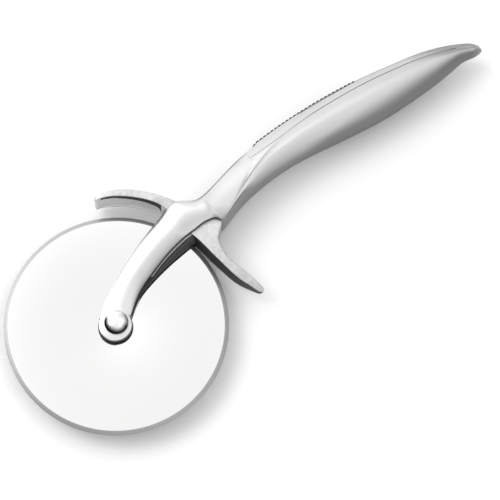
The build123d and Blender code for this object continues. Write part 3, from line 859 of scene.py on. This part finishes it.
def guard_rings():
    """Rings of the guard along its line. Each is a rounded bar whose inner side is pressed in
    by the pocket's depth, between two flanges."""
    angle = np.radians(prong_line[:, :1])
    spoke = np.hstack([np.cos(angle), np.sin(angle)])
    inner = np.vstack([spoke * prong_line[:, 1:2], tongue_line[:, :2]]) * mm
    outer = np.vstack([spoke * prong_line[:, 2:3], tongue_line[:, 2:]]) * mm
    middle = (inner + outer) / 2
    run = np.r_[0, np.cumsum(np.hypot(*np.diff(middle, axis=0).T))]
    run /= run[-1]
    u = (1 - np.cos(np.linspace(0, pi, 260))) / 2 * 0.35 + np.linspace(0, 1, 260) * 0.65
    both = curve_through(run, np.hstack([inner, outer]), u)
    inner, outer = both[:, None, :2], both[:, None, 2:]
    half = np.interp(u, *np.array(half_width_line).T)[:, None] * mm
    depth = np.interp(u, *np.array(pocket_depth_line).T)[:, None] * mm
    thick = np.hypot(*np.moveaxis(outer - inner, -1, 0))
    lip = np.minimum(pocket_wall, half * 0.3)

    def front_face(t):
        return thick * (1 - t), half + 0 * t

    def front_lip(t):
        return 0 * thick + 0 * t, half - lip * t

    def into(t):
        return depth * t, half - lip + 0 * t

    def floor_side(t):
        return depth + 0 * t, (half - lip) * (1 - 2 * t)

    def out_of(t):
        return depth * (1 - t), -(half - lip) + 0 * t

    def back_lip(t):
        return 0 * thick + 0 * t, -(half - lip) - lip * t

    def back_face(t):
        return thick * t, -half + 0 * t

    def outer_side(t):
        return thick + 0 * t, -half + 2 * half * t

    edge = np.minimum(guard_edge, thick[:, 0] * 0.3)
    floor_round = np.minimum(pocket_soft, depth[:, 0] * 0.8)
    sides = [front_face, front_lip, into, floor_side, out_of, back_lip, back_face, outer_side]
    radii = [edge, edge * 0.8, edge * 0.5, floor_round, floor_round, edge * 0.5, edge * 0.8, edge]
    counts = [10, 4, 8, 32, 8, 4, 10, 14]
    loop = rounded_loop(sides, radii, counts)
    across, z = loop[..., 0] / thick, loop[..., 1]
    plan = inner * (1 - across[..., None]) + outer * across[..., None]
    ends = [n + 5 for n in counts]
    # Painted shade in the pocket under the front flange and on the tongue's inner side, and painted light on
    # the pocket's lower face and the prong's inner side.
    limit = np.interp(u, *np.array(groove_line).T)[:, None] * mm
    deep = 0.5 + 0.5 * ramp(z, limit - 0.3 * mm, limit + 0.3 * mm)
    pocket = np.where(np.repeat([0, 0, 0, 1, 0, 0, 0, 0], ends)[None] > 0, deep,
                      np.repeat([0, 1, 1, 0, 0.5, 0.5, 0, 0], ends)[None]) * (depth > 0.2 * mm)
    inner_side = np.repeat([0, 1, 1, 1, 1, 1, 0, 0], ends)[None] + 0 * across
    tip = np.repeat([0, 0.5, 0.5, 0.5, 0.5, 0.5, 0.5, 0.5], ends)[None] * (1 - ramp(u, *painted_light_tip))[:, None]
    dark_from = 0.5 + 0.5 * ramp(u, *painted_shade_inside)[:, None]
    painted_shading = np.maximum(np.maximum(pocket, tip), inner_side * dark_from)
    return np.concatenate([plan, z[..., None]], -1), painted_shading


guard_points, guard_shading = guard_rings()
guard = add_tube("guard_casting", [guard_points], cast, shading_grids=[guard_shading])
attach(guard, "root")
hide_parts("guard")

# Blade
# A stamped disc of polished stainless steel, ground to an edge from both faces.
blade_low, blade_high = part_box("blade")
blade_radius = (blade_high.x - blade_low.x) / 2
blade_half = (blade_high.z - blade_low.z) / 2
blade_bore = 5.25 * mm
bevel_width = 1.9 * mm
edge_half = 0.125 * mm

disc_tone = (0.855, 0.858, 0.85, 1)
ground_tone = (0.40, 0.40, 0.40, 1)
ground_from = 0.04795, 0.04815
mirror_steel, steel_nodes, steel_shader = new_finish("mirror_steel", Metallic=1.0)
where, (along, across, _) = steel_nodes.places()
reach = (along * along + across * across).power(0.5)
ground = reach.step(*ground_from)
haze = steel_nodes.node("TexNoise", Vector=where, Scale=30.0, Detail=3.0)
rough = steel_nodes.value(haze.outputs[0]) * 0.02 + ground * 0.42 + 0.01
connect(steel_nodes.tree, steel_shader.inputs["Roughness"], rough)
edge_tone = steel_nodes.mix(ground.socket, disc_tone, ground_tone)
connect(steel_nodes.tree, steel_shader.inputs["Base Color"], edge_tone)


def turned(profile, segments=256):
    """A profile of radii and heights turned about the axle."""
    angle = np.linspace(0, 2 * pi, segments, endpoint=False)[:, None]
    radius, height = np.array(profile).T * mm
    return np.stack([radius * np.cos(angle), radius * np.sin(angle), height + 0 * angle], -1)


def softened(corners, radii, steps=4):
    """A closed polygon whose corners are bridged by quadratic curves of given sizes."""
    corners = np.array(corners, float)
    done = []
    for k, size in enumerate(radii):
        tip = corners[k]
        before, after = corners[k - 1] - tip, corners[(k + 1) % len(corners)] - tip
        first = tip + before / np.hypot(*before) * min(size, np.hypot(*before) * 0.45)
        last = tip + after / np.hypot(*after) * min(size, np.hypot(*after) * 0.45)
        t = np.linspace(0, 1, steps + 1)[:, None]
        done.append(first * (1 - t) ** 2 + tip * 2 * t * (1 - t) + last * t ** 2)
    return np.vstack(done)


rim, half, flat = blade_radius / mm, blade_half / mm, (blade_radius - bevel_width) / mm
bore, land = blade_bore / mm, edge_half / mm
blade_outline = [(bore, -half), (flat, -half), (rim, -land), (rim, land), (flat, half), (bore, half)]
blade_soft = [0.1, 0.12, 0.05, 0.05, 0.12, 0.1]
blade = add_ring_grid("blade_disc", turned(softened(blade_outline, blade_soft)), mirror_steel)
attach(blade, "wheel")
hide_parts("blade")

# Axle bolt
# A turned and polished bolt with a domed head that shows on the front ear.
dome_radius = 5.4
dome_rim = 0.5
dome_height = 2.5
seat = spotface_height / mm
pole = 0.02
rise = dome_height - dome_rim
ball = (dome_radius ** 2 + rise ** 2) / (2 * rise)
swing = np.arcsin((dome_radius - 0.15) / ball)
sky_side = radians(33)
bolt_tone = (0.88, 0.88, 0.88, 1)
painted_reflection_tone = (0.02, 0.02, 0.02, 1)
polished, polished_nodes, polished_shader = new_finish("polished_steel", Metallic=1.0)
where, (along, across, up) = polished_nodes.places()
# A dark crescent painted on the far side of the dome stands for its reflection of the dark end
# of the room.
height = up - axle_height
haze = polished_nodes.node("TexNoise", Vector=where, Scale=120.0, Detail=2.0)
rough = polished_nodes.value(haze.outputs[0]) * 0.05 + 0.05
connect(polished_nodes.tree, polished_shader.inputs["Roughness"], rough)
reach = (along * along + across * across).power(0.5)
sideways = (along * cos(sky_side) + across * sin(sky_side)) / reach
painted_crescent = reach.step(0.0024, 0.0050) * (1 - sideways.step(-0.2, 0.45)) * height.step(0.0045, 0.0055)
polished_colour = polished_nodes.mix(painted_crescent.socket, bolt_tone, painted_reflection_tone)
connect(polished.node_tree, polished_shader.inputs["Base Color"], polished_colour)
bolt_end = (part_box("axle_bolt")[0].z - axle_height) / mm
bolt_profile = [
    (pole, bolt_end), (2.2, bolt_end), (2.5, bolt_end + 0.3), (2.5, seat - 0.1), (2.6, seat),
    (dome_radius - 0.1, seat), (dome_radius, seat + 0.1), (dome_radius, seat + dome_rim - 0.12),
]
for share in np.linspace(0, 1, 26):
    bent = swing * (1 - share)
    across = ball * sin(bent) if share < 1 else pole
    bolt_profile.append((across, seat + dome_height - ball * (1 - cos(bent))))


def add_turned(name, profile, material, segments=96):
    """A solid turned about the axle, its profile running from one pole to the other."""
    rings = np.swapaxes(turned(profile, segments), 0, 1)
    return add_tube(name, [rings], material)


bolt = add_turned("axle_bolt_domed", bolt_profile, polished)
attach(bolt, "root")
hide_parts("axle_bolt")

# Thumb grip
# An inlay of black rubber with moulded ribs, pressed into its frame on the spine. It keeps its
# own solid.
rubber_tones = (0.008, 0.008, 0.009, 1), (0.022, 0.022, 0.023, 1)
rubber, rubber_nodes, rubber_shader = new_finish("black_rubber")
where, _ = rubber_nodes.places()
grain = rubber_nodes.node("TexNoise", Vector=where, Scale=1500.0, Detail=3.0)
speck = rubber_nodes.value(grain.outputs[0])
connect(rubber_nodes.tree, rubber_shader.inputs["Roughness"], speck * 0.2 + 0.5)
connect(rubber_nodes.tree, rubber_shader.inputs["Base Color"],
        rubber_nodes.mix(speck.socket, *rubber_tones))

# Sleeve, nut, washers, bush, collar and dowels
# The small turned pieces between the ears and on the back: steel, and nylon where the wheel
# runs. They are pressed or screwed together, and keep their own solids.
nylon_tones = (0.78, 0.78, 0.76, 1), (0.86, 0.86, 0.84, 1)
nylon, nylon_nodes, nylon_shader = new_finish("white_nylon")
where, _ = nylon_nodes.places()
cloud = nylon_nodes.value(nylon_nodes.node("TexNoise", Vector=where, Scale=400.0, Detail=2.0).outputs[0])
connect(nylon_nodes.tree, nylon_shader.inputs["Roughness"], cloud * 0.15 + 0.35)
connect(nylon_nodes.tree, nylon_shader.inputs["Base Color"],
        nylon_nodes.mix(cloud.socket, *nylon_tones))
finishes = {
    "thumb_grip": rubber, "axle_sleeve": polished, "cap_nut": polished, "nut_washer": polished,
    "front_thrust_washer": nylon, "back_thrust_washer": nylon, "hub_bush": nylon, "hub_collar": nylon,
    "guard_dowels": polished, "shell_dowels": polished,
}
for node, material in finishes.items():
    for slot in bpy.data.objects[node].material_slots:
        slot.material = material
